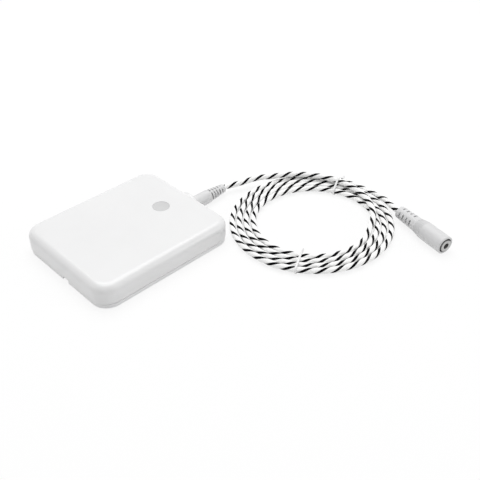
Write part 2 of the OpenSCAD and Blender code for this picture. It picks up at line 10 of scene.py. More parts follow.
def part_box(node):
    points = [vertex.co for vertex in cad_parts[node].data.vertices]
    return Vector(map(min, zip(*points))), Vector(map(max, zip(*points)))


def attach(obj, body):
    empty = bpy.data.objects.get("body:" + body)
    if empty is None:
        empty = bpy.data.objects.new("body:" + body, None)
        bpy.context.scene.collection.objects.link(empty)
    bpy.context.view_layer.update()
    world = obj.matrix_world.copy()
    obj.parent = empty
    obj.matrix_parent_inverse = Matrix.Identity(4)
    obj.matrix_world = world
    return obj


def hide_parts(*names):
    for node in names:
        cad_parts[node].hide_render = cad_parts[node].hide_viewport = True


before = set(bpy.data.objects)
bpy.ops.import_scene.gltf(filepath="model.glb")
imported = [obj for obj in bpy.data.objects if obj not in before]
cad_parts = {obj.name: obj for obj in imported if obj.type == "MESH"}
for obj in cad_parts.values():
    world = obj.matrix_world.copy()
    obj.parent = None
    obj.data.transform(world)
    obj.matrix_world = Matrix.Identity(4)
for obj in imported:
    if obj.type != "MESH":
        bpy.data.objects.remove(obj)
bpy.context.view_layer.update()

# lengths are in millimetres and become metres where a mesh is made; the camera, the floor and the lamps
# are placed in metres
MM = 0.001
UP = np.array([0.0, 0.0, 1.0])
TURN = 2 * math.pi

# the camera, as fitted to the photograph
CAMERA_AIM = Vector((0.047479, -0.041265, 0))
CAMERA_AZIMUTH = math.radians(-44.168)
CAMERA_ELEVATION = math.radians(37.8948)
CAMERA_DISTANCE = 0.402576
CAMERA_LENS = 52.502
CAMERA_SENSOR = 36

# the rope's route, from the end of the plug
ROPE_D = 3.6
PLUG_END = np.array([73, 0, 4.25])
LEAD_ROUTE = [(0, 0, 0), (2, 0, 0), (5, -1, 0.1), (9.5, -3.2, 0.45), (14.5, -5.3, 1), (18.5, -7.2, 1.6)]
COIL_IN = 32.8
COIL_PITCH = 4.05
COIL_LOW = 2.5
COIL_START = 74
COIL_END = -8
COIL_TURNS = 4 + (COIL_START - COIL_END) / 360
CROSS_TURN = 0.38
CROSS_EASE = 1.25
CROSS_LAP = 1.4
DROP_AT = 0.29
DROP_TURN = 0.15
COIL_OUT = COIL_IN + COIL_PITCH * (COIL_TURNS - CROSS_TURN)
CROSS_OUT = COIL_OUT + CROSS_LAP
COIL_BACK = 32.8
COIL_ASIDE = 12.5
COIL_MIDDLE = np.array([PLUG_END[0] + COIL_OUT - COIL_BACK, -COIL_OUT - COIL_ASIDE, 0])
COIL_RINGS = 24
SQUASH = 0.025
SQUASH_TURN = math.radians(-26)
TAIL_UP = 2.9
TAIL_ROUTE = [(-0.2, -4, 0.08 * TAIL_UP), (-1.1, -6.3, 0.2 * TAIL_UP), (-3.5, -10.7, 0.5 * TAIL_UP),
              (-5.9, -15.1, 0.8 * TAIL_UP), (-6.9, -17.3, 0.95 * TAIL_UP), (-7.5, -19.3, TAIL_UP)]
TAIL_RUN = 2
SOCKET_TURN = math.radians(-103)
SOCKET_WAY = np.array([math.cos(SOCKET_TURN), math.sin(SOCKET_TURN), 0])

# the rope's strands: broad white ones, with a black core that shows in the grooves between them
ROPE_STEP = 0.8
SPLINE_POINTS = 40
ROPE_LAY = 17.8
STRANDS = 2
CORE_R = 1.6
STRAND_HALF = math.radians(60)
STRAND_TOP = 1.8
STRAND_EDGE = 1.7
STRAND_ROOT = 1.5
STRAND_SIDES = 13
CORE_SIDES = 18

# ties round the coil
TIE_AT = [0.151, 0.624]
TIE_T = 0.5
TIE_W = 1.3
TIE_GAP = 0.2
TIE_TAIL = 4
TIE_TWIST = 2.2
TIE_OUTLINE = 48
TIE_STEP = 0.3
TIE_SIDES = 14
TWIST_STEPS = 40
WIRE_SIDES = 10

# plug and end socket
PLUG_X = 46.4
JACK_Z = 4.25
PLUG_L = 13.6
PLUG_R = 4.15
PLUG_EDGE = 0.4
PLUG_STEP = 0.3
RELIEF_L = 13
RELIEF_R = (3.9, 2.7)
RELIEF_LIP = 0.6
RELIEF_ROWS = 5
RELIEF_FIRST = 0.9
RELIEF_LAST = 1.1
RELIEF_SLOT = 4.6
RELIEF_TURN = math.radians(70)
SLOT_COLUMNS = 4
SLOT_W = 0.8
SLOT_DEPTH = 0.9
SLOT_EDGE = 0.12
SLOT_REACH = TURN / 6
# share of a slot's depth past which its floor gets the darker material, as painted shade
SLOT_SHADE = 0.3
PIN_R = 1.75
SOCKET_R = 5.4
SOCKET_L = 38
SOCKET_EDGE = 0.7
NECK_L = 13.9
NECK_R = (3.8, 4.3)
NECK_ROWS = 4
NECK_FIRST = 3
NECK_STEP = 3
NECK_SLOT = 3.4
NECK_TURN = math.radians(76)
FLARE_L = 8.8
FLARE_RINGS = 5
RING_FIRST = 2.8
RING_W = 0.45
RING_DEPTH = 0.25
FLARE_STEPS = 80
MOUTH_R = 4.3
MOUTH_L = 1.1
MOUTH_EDGE = 0.15
MOUTH_STEPS = 3
GRIP_STEP = 0.09
GRIP_SIDES = 168
# how near to its axis a turned profile ends
AXIS_GAP = 0.5

# the button: its face, its flange under the cover and the stem over the switch
BUTTON_X = 24
BUTTON_R = 4.9
BUTTON_EDGE = 0.25
BUTTON_DISH = 0.5
BUTTON_TOP = 14.4
BUTTON_SIDES = 96
FACE_STEPS = 24
FLANGE_R = 6.15
FLANGE_Z = (11.7, 12.5)
STEM_R = 2
STEM_Z = 9.3
SMALL_EDGE = 0.15

# the battery cells and their springs
CELLS = 3
CELL_L = 44.5
CELL_R = 5.25
CELL_RIM = 4.4
CELL_EDGE = 0.5
CELL_SINK = 0.3
CELL_BEVEL = 0.4
CELL_SIDES = 72
CRIMP_W = 0.3
CRIMP_DEPTH = 0.35
NUB_R = 2.6
NUB_L = 1
NUB_GAP = 0.2
NUB_EDGE = 0.3
SPRING_R = (3.4, 2.0)
SPRING_TURNS = 3
SPRING_WIRE = 0.6
SPRING_STEPS = 36


class Shape:
    """Points in millimetres, and the faces between them with their texture places and materials."""

    def __init__(self):
        self.points = []
        self.faces = []
        self.places = []
        self.kinds = []

    def grid(self, rows, closed=True, caps=False, kind=0, run=None):
        """A skin over rows of points, each of which goes once round a section."""
        rows = np.asarray(rows, float)
        n, m = rows.shape[:2]
        first = len(self.points)
        self.points.extend(map(tuple, rows.reshape(-1, 3)))
        run = np.arange(n) if run is None else run
        for i in range(n - 1):
            for j in range(m if closed else m - 1):
                k = (j + 1) % m
                self.faces.append((first + i * m + j, first + i * m + k,
                                   first + (i + 1) * m + k, first + (i + 1) * m + j))
                u0, u1, v0, v1 = run[i], run[i + 1], j / m, (j + 1) / m
                self.places.append(((u0, v0), (u0, v1), (u1, v1), (u1, v0)))
                self.kinds.append(kind(i, j) if callable(kind) else kind)
        if caps:
            ends = [range(first + m - 1, first - 1, -1), range(first + (n - 1) * m, first + n * m)]
            for ring in ends:
                self.faces.append(tuple(ring))
                self.places.append(((0, 0),) * m)
                self.kinds.append(0 if callable(kind) else kind)

    def make(self, name, materials, body, nodes=(), sharp=40):
        """The piece itself, which rides on a body and stands for the CAD nodes named."""
        mesh = bpy.data.meshes.new(name)
        mesh.from_pydata([Vector(p) * MM for p in self.points], [], self.faces)
        for material in materials:
            mesh.materials.append(material)
        mesh.polygons.foreach_set("material_index", self.kinds)
        layer = mesh.uv_layers.new(name="run")
        flat = [c for face in self.places for place in face for c in place]
        layer.data.foreach_set("uv", flat)
        mesh.shade_smooth()
        mesh.set_sharp_from_angle(angle=math.radians(sharp))
        mesh.validate()
        piece = bpy.data.objects.new(name, mesh)
        bpy.context.collection.objects.link(piece)
        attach(piece, body)
        if nodes:
            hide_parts(*nodes)
        return piece


def unit(v):
    return v / np.linalg.norm(v, axis=-1, keepdims=True)


def smooth(q):
    q = np.clip(q, 0, 1)
    return q * q * (3 - 2 * q)


def circle(sides, across=1.0, high=1.0):
    """Points round a section, as shares of its two axes."""
    a = np.arange(sides) * TURN / sides
    return np.stack([across * np.cos(a), high * np.sin(a)], -1)


def sweep(line, across, high, section):
    """Rows of points that carry a section along a line."""
    return (line[:, None] + section[None, :, :1] * across[:, None]
            + section[None, :, 1:] * high[:, None])


def even_steps(points, step):
    """Points at even steps along a line of straight stretches, and how far along they are."""
    reach = np.concatenate([[0], np.cumsum(np.linalg.norm(np.diff(points, axis=0), axis=1))])
    even = np.linspace(0, reach[-1], int(reach[-1] / step) + 1)
    return np.stack([np.interp(even, reach, points[:, k]) for k in range(points.shape[1])], -1), even


def spline(points, step):
    """A smooth curve through points, as even steps along its length."""
    points = np.asarray(points, float)
    knots = np.concatenate([[0], np.cumsum(np.linalg.norm(np.diff(points, axis=0), axis=1))])
    gaps = np.diff(knots)
    n = len(points)
    matrix = np.eye(n)
    right = np.zeros((n, 3))
    slopes = np.diff(points, axis=0) / gaps[:, None]
    for i in range(1, n - 1):
        matrix[i, i - 1:i + 2] = gaps[i - 1], 2 * (gaps[i - 1] + gaps[i]), gaps[i]
        right[i] = 6 * (slopes[i] - slopes[i - 1])
    bends = np.linalg.solve(matrix, right)

    def at(s):
        i = np.clip(np.searchsorted(knots, s, side="right") - 1, 0, n - 2)
        h, a, b = gaps[i], knots[i + 1] - s, s - knots[i]
        curve = (bends[i] * (a ** 3 / (6 * h))[:, None] + bends[i + 1] * (b ** 3 / (6 * h))[:, None])
        start = points[i] / h[:, None] - bends[i] * (h / 6)[:, None]
        end = points[i + 1] / h[:, None] - bends[i + 1] * (h / 6)[:, None]
        return curve + start * a[:, None] + end * b[:, None]

    return even_steps(at(np.linspace(0, knots[-1], SPLINE_POINTS * n)), step)


def frames(line):
    """Directions along a line that is never upright, to its left, and up from it."""
    ahead = unit(np.gradient(line, axis=0))
    left = unit(np.cross(UP, ahead))
    return ahead, left, np.cross(ahead, left)


def lathe(profile, sides, place, dent=None):
    """Rows of points round an axis, from (radius, height) pairs, with radii changed by dent."""
    a = np.arange(sides) * TURN / sides
    r = np.array([[p[0]] * sides for p in profile], float)
    z = np.array([[p[1]] * sides for p in profile], float)
    if dent is not None:
        r = r - dent(r, z, a[None, :])
    points = np.stack([r * np.cos(a), r * np.sin(a), z], -1)
    turn = np.array(place.to_3x3())
    return points @ turn.T + np.array(place.translation)


# materials


def new_material(name):
    material = bpy.data.materials.new(name)
    material.use_nodes = True
    tree = material.node_tree
    return material, tree, tree.nodes["Principled BSDF"]


def add(tree, kind, inputs=(), **settings):
    """One node, with its settings, and its inputs linked or set."""
    node = tree.nodes.new("ShaderNode" + kind)
    for key, value in settings.items():
        setattr(node, key, value)
    for key, value in dict(inputs).items():
        if isinstance(value, bpy.types.NodeSocket):
            tree.links.new(value, node.inputs[key])
        else:
            node.inputs[key].default_value = value
    return node


def places(tree, kind="Object", scale=(1, 1, 1)):
    source = add(tree, "TexCoord").outputs[kind]
    return add(tree, "Mapping", {"Vector": source, "Scale": scale}).outputs["Vector"]


def noise(tree, vector, scale, detail=2):
    return add(tree, "TexNoise", {"Vector": vector, "Scale": scale, "Detail": detail}).outputs["Fac"]


def span(tree, value, low, high, first=0.3, last=0.7):
    """The value's middle part, stretched from low to high."""
    inputs = {"Value": value, "From Min": first, "From Max": last, "To Min": low, "To Max": high}
    return add(tree, "MapRange", inputs).outputs["Result"]


def ramp(tree, value, stops, interpolation="LINEAR"):
    node = add(tree, "ValToRGB", {"Fac": value})
    node.color_ramp.interpolation = interpolation
    elements = node.color_ramp.elements
    while len(elements) < len(stops):
        elements.new(0.5)
    for element, (position, colour) in zip(elements, stops):
        element.position = position
        element.color = (*colour, 1)
    return node.outputs["Color"]


def bump(tree, height, depth, normal=None):
    inputs = {"Height": height, "Distance": depth, "Strength": 1.0}
    if normal is not None:
        inputs["Normal"] = normal
    return add(tree, "Bump", inputs).outputs["Normal"]


def shades(colour, spread):
    """A colour a little darker and a little lighter."""
    return [tuple(min(1, c * (1 + k * spread)) for c in colour) for k in (-1, 1)]


def plastic(name, colour, roughness, spread=0.012, grain=0.000003, grain_scale=2600, coat=0.0,
            uneven=0.03):
    """Moulded plastic: a slight cloudiness, uneven gloss and a fine moulded grain."""
    material, tree, shader = new_material(name)
    vector = places(tree)
    dark, light = shades(colour, spread)
    cloud = noise(tree, vector, scale=45, detail=3)
    tree.links.new(ramp(tree, cloud, [(0.3, dark), (0.7, light)]), shader.inputs["Base Color"])
    gloss = span(tree, noise(tree, vector, scale=420), roughness - uneven, roughness + uneven)
    tree.links.new(gloss, shader.inputs["Roughness"])
    skin = bump(tree, noise(tree, vector, grain_scale), grain)
    tree.links.new(skin, shader.inputs["Normal"])
    shader.inputs["Coat Weight"].default_value = coat
    shader.inputs["Coat Roughness"].default_value = 0.1
    return material


def metal(name, colour, roughness, stretch=(1, 1, 1), spread=0.08):
    """Plated or drawn metal: fine drawn lines and spots of duller plating."""
    material, tree, shader = new_material(name)
    drawn = noise(tree, places(tree, scale=stretch), scale=900, detail=3)
    dull = noise(tree, places(tree), scale=260, detail=3)
    dark, light = shades(colour, spread)
    tree.links.new(ramp(tree, dull, [(0.35, dark), (0.65, light)]), shader.inputs["Base Color"])
    gloss = span(tree, drawn, low=roughness - 0.06, high=roughness + 0.08)
    tree.links.new(gloss, shader.inputs["Roughness"])
    tree.links.new(bump(tree, drawn, depth=0.000006), shader.inputs["Normal"])
    shader.inputs["Metallic"].default_value = 1.0
    return material


def yarn(name, colour, spread, fibres, specular, depth):
    """Spun yarn: fibres that twist round each strand, with loose ones between."""
    material, tree, shader = new_material(name)
    run = places(tree, "UV", (1.0, fibres, 1))
    wave = add(tree, "TexWave", {"Vector": run, "Scale": 0.5, "Distortion": 1.2, "Detail": 2,
                                 "Detail Scale": 1.5}, bands_direction="DIAGONAL").outputs["Fac"]
    fuzz = noise(tree, places(tree), scale=3800, detail=3)
    dark, light = shades(colour, spread)
    tree.links.new(ramp(tree, wave, [(0.0, dark), (0.55, light)]), shader.inputs["Base Color"])
    tree.links.new(span(tree, fuzz, low=0.75, high=0.92), shader.inputs["Roughness"])
    skin = bump(tree, wave, depth, bump(tree, fuzz, depth))
    tree.links.new(skin, shader.inputs["Normal"])
    shader.inputs["Specular IOR Level"].default_value = specular
    return material


def rubber(name, colour):
    """Soft foam rubber with open pores."""
    material, tree, shader = new_material(name)
    vector = places(tree)
    pores = add(tree, "TexVoronoi", {"Vector": vector, "Scale": 1500}).outputs["Distance"]
    dark, light = shades(colour, spread=0.25)
    tree.links.new(ramp(tree, pores, [(0.1, dark), (0.6, light)]), shader.inputs["Base Color"])
    tree.links.new(bump(tree, pores, depth=0.00015), shader.inputs["Normal"])
    gloss = span(tree, noise(tree, vector, scale=300), low=0.8, high=0.95)
    tree.links.new(gloss, shader.inputs["Roughness"])
    return material


def circuit_board(name, mask, copper):
    """Solder mask over copper tracks, with rows of small holes."""
    material, tree, shader = new_material(name)
    vector = places(tree)
    tracks = add(tree, "TexBrick", {"Vector": vector, "Scale": 180, "Mortar Size": 0.03, "Bias": 0.2,
                                    "Brick Width": 1.3, "Row Height": 0.4}).outputs["Fac"]
    holes = add(tree, "TexVoronoi", {"Vector": vector, "Scale": 210, "Randomness": 0.7}).outputs["Distance"]
    dark, light = shades(mask, spread=0.2)
    lines = ramp(tree, tracks, [(0.0, dark), (1.0, light)])
    spots = ramp(tree, holes, [(0.0, (1, 1, 1)), (0.14, (0, 0, 0))], "CONSTANT")
    mix = add(tree, "Mix", data_type="RGBA")
    tree.links.new(spots, mix.inputs["Factor"])
    tree.links.new(lines, mix.inputs["A"])
    mix.inputs["B"].default_value = (*copper, 1)
    tree.links.new(mix.outputs["Result"], shader.inputs["Base Color"])
    gloss = span(tree, noise(tree, vector, scale=700), low=0.3, high=0.42)
    tree.links.new(gloss, shader.inputs["Roughness"])
    tree.links.new(bump(tree, tracks, depth=0.00003), shader.inputs["Normal"])
    return material


def cell_jacket(name, low, high, flip):
    """A printed metal jacket, dark with a copper band at the nub's end."""
    material, tree, shader = new_material(name)
    vector = places(tree)
    along = add(tree, "SeparateXYZ", {"Vector": vector}).outputs["Y"]
    ends = (high, low) if flip else (low, high)
    inputs = {"Value": along, "From Min": ends[0], "From Max": ends[1]}
    share = add(tree, "MapRange", inputs).outputs["Result"]
    dark, stripe, copper, steel = (0.028, 0.03, 0.034), (0.35, 0.33, 0.3), (0.5, 0.22, 0.09), (0.6, 0.6, 0.6)
    stops = [(0.0, steel), (0.015, dark), (0.7, stripe), (0.715, copper), (0.965, steel)]
    tree.links.new(ramp(tree, share, stops, "CONSTANT"), shader.inputs["Base Color"])
    gloss = span(tree, noise(tree, vector, scale=500), low=0.26, high=0.36)
    tree.links.new(gloss, shader.inputs["Roughness"])
    tree.links.new(bump(tree, noise(tree, vector, scale=1600), depth=0.000008), shader.inputs["Normal"])
    shader.inputs["Metallic"].default_value = 0.7
    return material


cover_white = plastic("cover_white", (0.76, 0.76, 0.762), roughness=0.3, coat=0.15, uneven=0.005)
base_white = plastic("base_white", (0.82, 0.82, 0.823), roughness=0.42)
button_white = plastic("button_white", (0.57, 0.57, 0.572), roughness=0.7)
grip_grey = plastic("grip_grey", (0.64, 0.64, 0.644), roughness=0.45, grain=0.000012, grain_scale=1800)
# a darker grey for the slot floors, as painted shade in the slots
slot_painted_shade = plastic("slot_painted_shade", (0.26, 0.26, 0.265), roughness=0.6)
black_plastic = plastic("black_plastic", (0.025, 0.025, 0.027), roughness=0.4, spread=0.2)
board_green = circuit_board("board_green", (0.02, 0.13, 0.06), (0.55, 0.42, 0.2))
radio_green = circuit_board("radio_green", (0.015, 0.05, 0.11), (0.6, 0.45, 0.2))
pad_grey = rubber("pad_grey", (0.09, 0.09, 0.095))
lens = plastic("led_lens", (0.85, 0.83, 0.72), roughness=0.18)
shield_metal = metal("shield_metal", (0.62, 0.62, 0.61), roughness=0.34, stretch=(1, 14, 1))
contact_gold = metal("contact_gold", (0.8, 0.58, 0.25), roughness=0.24)
spring_steel = metal("spring_steel", (0.66, 0.65, 0.62), roughness=0.26)
screw_steel = metal("screw_steel", (0.5, 0.5, 0.5), roughness=0.32)
pin_nickel = metal("pin_nickel", (0.72, 0.71, 0.68), roughness=0.2, stretch=(20, 1, 1))
barrel_nickel = metal("barrel_nickel", (0.5, 0.5, 0.495), roughness=0.42)
white_yarn = yarn("white_yarn", (0.94, 0.94, 0.935), spread=0.02, fibres=6, specular=0.3,
                  depth=0.00003)
black_yarn = yarn("black_yarn", (0.004, 0.004, 0.0045), spread=0.3, fibres=4, specular=0.03,
                  depth=0.00004)
tie_white = plastic("tie_white", (0.82, 0.82, 0.82), roughness=0.3)

# the camera
camera = bpy.data.objects.new("camera", bpy.data.cameras.new("camera"))
bpy.context.collection.objects.link(camera)
back = Vector((math.sin(CAMERA_AZIMUTH) * math.cos(CAMERA_ELEVATION),
               -math.cos(CAMERA_AZIMUTH) * math.cos(CAMERA_ELEVATION), math.sin(CAMERA_ELEVATION)))
camera.location = CAMERA_AIM + back * CAMERA_DISTANCE
camera.rotation_euler = (-back).to_track_quat("-Z", "Y").to_euler()
camera.data.lens = CAMERA_LENS
camera.data.sensor_width = CAMERA_SENSOR
camera.data.clip_start = 0.01
bpy.context.scene.camera = camera


# the rope


def coil_angle(t):
    return math.radians(COIL_START) - TURN * t


def coil_radius(t):
    wound = COIL_IN + COIL_PITCH * (t - CROSS_TURN)
    if t < CROSS_TURN:
        wound = COIL_IN + (CROSS_OUT - COIL_IN) * (1 - t / CROSS_TURN) ** CROSS_EASE
    return wound * (1 + SQUASH * math.cos(2 * (coil_angle(t) - SQUASH_TURN)))


def coil_height(t):
    return COIL_LOW + COIL_PITCH * (1 - smooth((t - DROP_AT) / DROP_TURN))


def coil_point(t):
    a, r = coil_angle(t), coil_radius(t)
    return COIL_MIDDLE + np.array([r * math.cos(a), r * math.sin(a), coil_height(t)])


def rope_route():
    """The points that the rope follows, from the plug through the coil to the end socket."""
    steps = math.ceil(COIL_TURNS * COIL_RINGS)
    coil = [coil_point(COIL_TURNS * i / steps) for i in range(steps + 1)]
    entry = coil[0] + ROPE_D * unit(coil[0] - coil[1])
    leave = unit(coil[-1] - coil[-2])
    out = coil[-1] + ROPE_D * leave
    lead = [PLUG_END + np.array(p) for p in LEAD_ROUTE]
    tail = [out + np.array(p) for p in TAIL_ROUTE]
    return lead + [2 * entry - coil[0], entry] + coil + [out, out + TAIL_RUN * leave] + tail + [
        tail[-1] + TAIL_RUN * SOCKET_WAY]


ROUTE = rope_route()
SOCKET_START = ROUTE[-1]
rope_line, rope_run = spline(ROUTE, ROPE_STEP)
_, rope_left, rope_high = frames(rope_line)


def strand(shape, middle):
    """One white strand that winds round the rope's line, left-handed, with soft shoulders."""
    over = np.linspace(-1, 1, STRAND_SIDES)
    under = over[::-(STRAND_SIDES // 2)]
    angles = middle + STRAND_HALF * np.concatenate([over, under])
    top = STRAND_TOP - (STRAND_TOP - STRAND_EDGE) * over ** 4
    reach = np.concatenate([top, np.full(len(under), STRAND_ROOT)])
    a = (angles[None] - rope_run[:, None] / ROPE_LAY * TURN)[..., None]
    spokes = np.cos(a) * rope_left[:, None] + np.sin(a) * rope_high[:, None]
    shape.grid(rope_line[:, None] + reach[None, :, None] * spokes, caps=True, run=rope_run)


white = Shape()
black = Shape()
core = circle(CORE_SIDES, CORE_R, CORE_R)
black.grid(sweep(rope_line, rope_left, rope_high, core), caps=True, run=rope_run)
for k in range(STRANDS):
    strand(white, TURN * k / STRANDS)
rope = white.make("sensing_rope", [white_yarn], "sensor_cable",
                  ["rope_lead", "rope_coil", "rope_tail"], sharp=80)
stripes = black.make("rope_stripes", [black_yarn], "sensor_cable", sharp=80)


def hull(points):
    """The outline round points in a plane, counter-clockwise."""
    points = sorted(map(tuple, points))

    def half(chain):
        kept = []
        for p in chain:
            while len(kept) > 1:
                (ax, ay), (bx, by) = kept[-2], kept[-1]
                if (bx - ax) * (p[1] - ay) - (by - ay) * (p[0] - ax) > 0:
                    break
                kept.pop()
            kept.append(p)
        return kept[:-1]

    return np.array(half(points) + half(points[::-1]))


def tie(name, node, f, outward):
    """A flat tie round the strands that pass a share f of a turn, with its two ends twisted together."""
    a = coil_angle(f)
    out = np.array([math.cos(a), math.sin(a), 0])
    aside = np.cross(out, UP)
    passes = [f + k for k in range(int(COIL_TURNS - f) + 1)]
    reach = ROPE_D / 2 + TIE_GAP + TIE_T / 2
    ring = circle(TIE_OUTLINE, reach, reach)
    outline = hull(np.concatenate([ring + (coil_radius(t), coil_height(t)) for t in passes]))
    loop, _ = even_steps(np.concatenate([outline, outline[:1]]), TIE_STEP)
    line = COIL_MIDDLE + loop[:, :1] * out + loop[:, 1:] * UP
    ahead = unit(np.roll(line[:-1], -1, 0) - np.roll(line[:-1], 1, 0))
    ahead = np.concatenate([ahead, ahead[:1]])
    sides = np.repeat(aside[None], len(line), 0)
    shape = Shape()
    shape.grid(sweep(line, sides, np.cross(ahead, sides), circle(TIE_SIDES, TIE_W / 2, TIE_T / 2)))
    way = 1 if outward else -1
    start = (coil_radius(passes[-1]) if outward else coil_radius(passes[0])) + way * reach
    s = np.linspace(0, TIE_TAIL, TWIST_STEPS)
    wire = TIE_W / 4
    for phase in (0, math.pi):
        twist = (phase + s / TIE_TWIST * TURN)[:, None]
        line = (COIL_MIDDLE + (start + way * s)[:, None] * out + COIL_LOW * UP
                + wire * (np.cos(twist) * aside + np.sin(twist) * UP))
        ahead = unit(np.gradient(line, axis=0))
        high = unit(np.cross(ahead, np.repeat(aside[None], len(s), 0)))
        shape.grid(sweep(line, np.cross(high, ahead), high, circle(WIRE_SIDES, wire, wire)), caps=True)
    return shape.make(name, [tie_white], "sensor_cable", [node], sharp=60)


tie_far = tie("twist_tie_far", "coil_tie_far", TIE_AT[0], True)
tie_near = tie("twist_tie_near", "coil_tie_near", TIE_AT[1], False)


# plug and end socket


def slots(first, step, rows, mean, length, turn):
    """How deep the sleeve's slots go at a place, in columns round it."""

    def dent(r, z, a):
        depth = np.zeros(np.broadcast(r, z, a).shape)
        for column in range(SLOT_COLUMNS):
            away = (a - turn - column * TURN / SLOT_COLUMNS + math.pi) % TURN - math.pi
            facing = np.abs(away) < SLOT_REACH
            below = np.maximum(r - (mean - SLOT_DEPTH) / np.cos(np.where(facing, away, 0)), 0)
            wide = smooth((length / 2 - np.abs(r * np.sin(away))) / SLOT_EDGE) * facing
            for row in range(rows):
                off = np.abs(z - first - row * step - SLOT_W / 2)
                inside = smooth((SLOT_W / 2 + SLOT_EDGE / 2 - off) / SLOT_EDGE)
                depth = np.maximum(depth, below * wide * inside)
        return depth

    return dent


def fine(profile, step):
    """A profile with points no further apart than step."""
    points = [profile[0]]
    for (r0, z0), (r1, z1) in zip(profile, profile[1:]):
        n = max(1, math.ceil(math.hypot(r1 - r0, z1 - z0) / step))
        points += [(r0 + (r1 - r0) * k / n, z0 + (z1 - z0) * k / n) for k in range(1, n + 1)]
    return points


def arc(r, z, radius, start, end, steps=5):
    """Points of a rounded edge, as (radius, height) pairs."""
    angles = [math.radians(start + (end - start) * k / steps) for k in range(steps + 1)]
    return [(r + radius * math.cos(a), z + radius * math.sin(a)) for a in angles]


def slotted(name, node, profile, place, dent):
    """A moulded grip with slots, whose floors get a darker material as painted shade in the slots."""
    points = fine(profile, GRIP_STEP)
    shape = Shape()
    r, z = (np.array([p[k] for p in points])[:, None] for k in (0, 1))
    angles = (np.arange(GRIP_SIDES) * TURN / GRIP_SIDES)[None, :]
    # faces deep in a slot get the darker material, as painted shade in the slots
    painted_shade_floor = dent(r, z, angles) > SLOT_SHADE * SLOT_DEPTH
    shape.grid(lathe(points, GRIP_SIDES, place, dent), kind=lambda i, j: int(painted_shade_floor[i, j] and painted_shade_floor[i + 1, j]))
    return shape.make(name, [grip_grey, slot_painted_shade], "sensor_cable", [node], sharp=50)


ALONG_X = Matrix.Rotation(math.radians(90), 4, "Y")
plug_place = Matrix.Translation((PLUG_X, 0, JACK_Z)) @ ALONG_X
plug_end = PLUG_L + RELIEF_L
plug_profile = ([(PIN_R, 0)] + arc(PLUG_R - PLUG_EDGE, PLUG_EDGE, PLUG_EDGE, -90, 0)
                + arc(PLUG_R - PLUG_STEP, PLUG_L - PLUG_STEP, PLUG_STEP, 0, 70)
                + [(RELIEF_R[0], PLUG_L), (RELIEF_R[1], plug_end - RELIEF_LIP)]
                + arc(RELIEF_R[1] - RELIEF_LIP, plug_end - RELIEF_LIP, RELIEF_LIP, 0, 90)
                + [(AXIS_GAP, plug_end)])
relief_step = (RELIEF_L - RELIEF_FIRST - RELIEF_LAST) / RELIEF_ROWS
plug_slots = slots(PLUG_L + RELIEF_FIRST, relief_step, RELIEF_ROWS, sum(RELIEF_R) / 2, RELIEF_SLOT,
                   RELIEF_TURN)
plug = slotted("plug_moulding", "plug_grip", plug_profile, plug_place, plug_slots)

socket_place = (Matrix.Translation(Vector(SOCKET_START)) @ Matrix.Rotation(SOCKET_TURN, 4, "Z") @ ALONG_X)


def flare(z):
    """Radius of the socket's flare, with its fine rings."""
    step = (FLARE_L - RING_FIRST) / FLARE_RINGS
    past = z - NECK_L - RING_FIRST - RING_W / 2
    off = abs((past + step / 2) % step - step / 2)
    ring = smooth((RING_W / 2 + SLOT_EDGE / 2 - off) / SLOT_EDGE) if past > -step / 2 else 0
    return NECK_R[1] + (SOCKET_R - NECK_R[1]) * smooth((z - NECK_L) / FLARE_L) - RING_DEPTH * ring


flare_z = [NECK_L + FLARE_L * k / FLARE_STEPS for k in range(FLARE_STEPS)]
socket_profile = ([(AXIS_GAP, 0)] + arc(NECK_R[0] - SOCKET_EDGE, SOCKET_EDGE, SOCKET_EDGE, -90, 0)
                  + [(float(flare(z)), z) for z in flare_z] + [(SOCKET_R, NECK_L + FLARE_L)]
                  + arc(SOCKET_R - SOCKET_EDGE, SOCKET_L - SOCKET_EDGE, SOCKET_EDGE, 0, 90)
                  + arc(MOUTH_R + MOUTH_EDGE, SOCKET_L - MOUTH_EDGE, MOUTH_EDGE, 90, 180, MOUTH_STEPS)
                  + [(MOUTH_R, SOCKET_L - MOUTH_L)])
socket_slots = slots(NECK_FIRST, NECK_STEP, NECK_ROWS, NECK_R[0], NECK_SLOT, NECK_TURN)
socket = slotted("socket_moulding", "socket_grip", socket_profile, socket_place, socket_slots)

# the button, with a softly hollowed face
face_r = BUTTON_R - BUTTON_EDGE
face_out = [1 - k / FACE_STEPS for k in range(1, FACE_STEPS)]
face = [(face_r * q, BUTTON_TOP - BUTTON_DISH * (1 - q ** 2)) for q in face_out]
button_profile = ([(AXIS_GAP, STEM_Z)] + arc(STEM_R - SMALL_EDGE, STEM_Z + SMALL_EDGE, SMALL_EDGE, -90, 0)
                  + [(STEM_R, FLANGE_Z[0])]
                  + arc(FLANGE_R - SMALL_EDGE, FLANGE_Z[0] + SMALL_EDGE, SMALL_EDGE, -90, 0)
                  + arc(FLANGE_R - SMALL_EDGE, FLANGE_Z[1] - SMALL_EDGE, SMALL_EDGE, 0, 90)
                  + [(BUTTON_R, FLANGE_Z[1])]
                  + arc(face_r, BUTTON_TOP - BUTTON_EDGE, BUTTON_EDGE, 0, 90) + face)
shape = Shape()
shape.grid(lathe(button_profile, BUTTON_SIDES, Matrix.Translation((BUTTON_X, 0, 0))), caps=True)
shape.make("button_cap", [button_white], "button", ["status_button"], sharp=35)

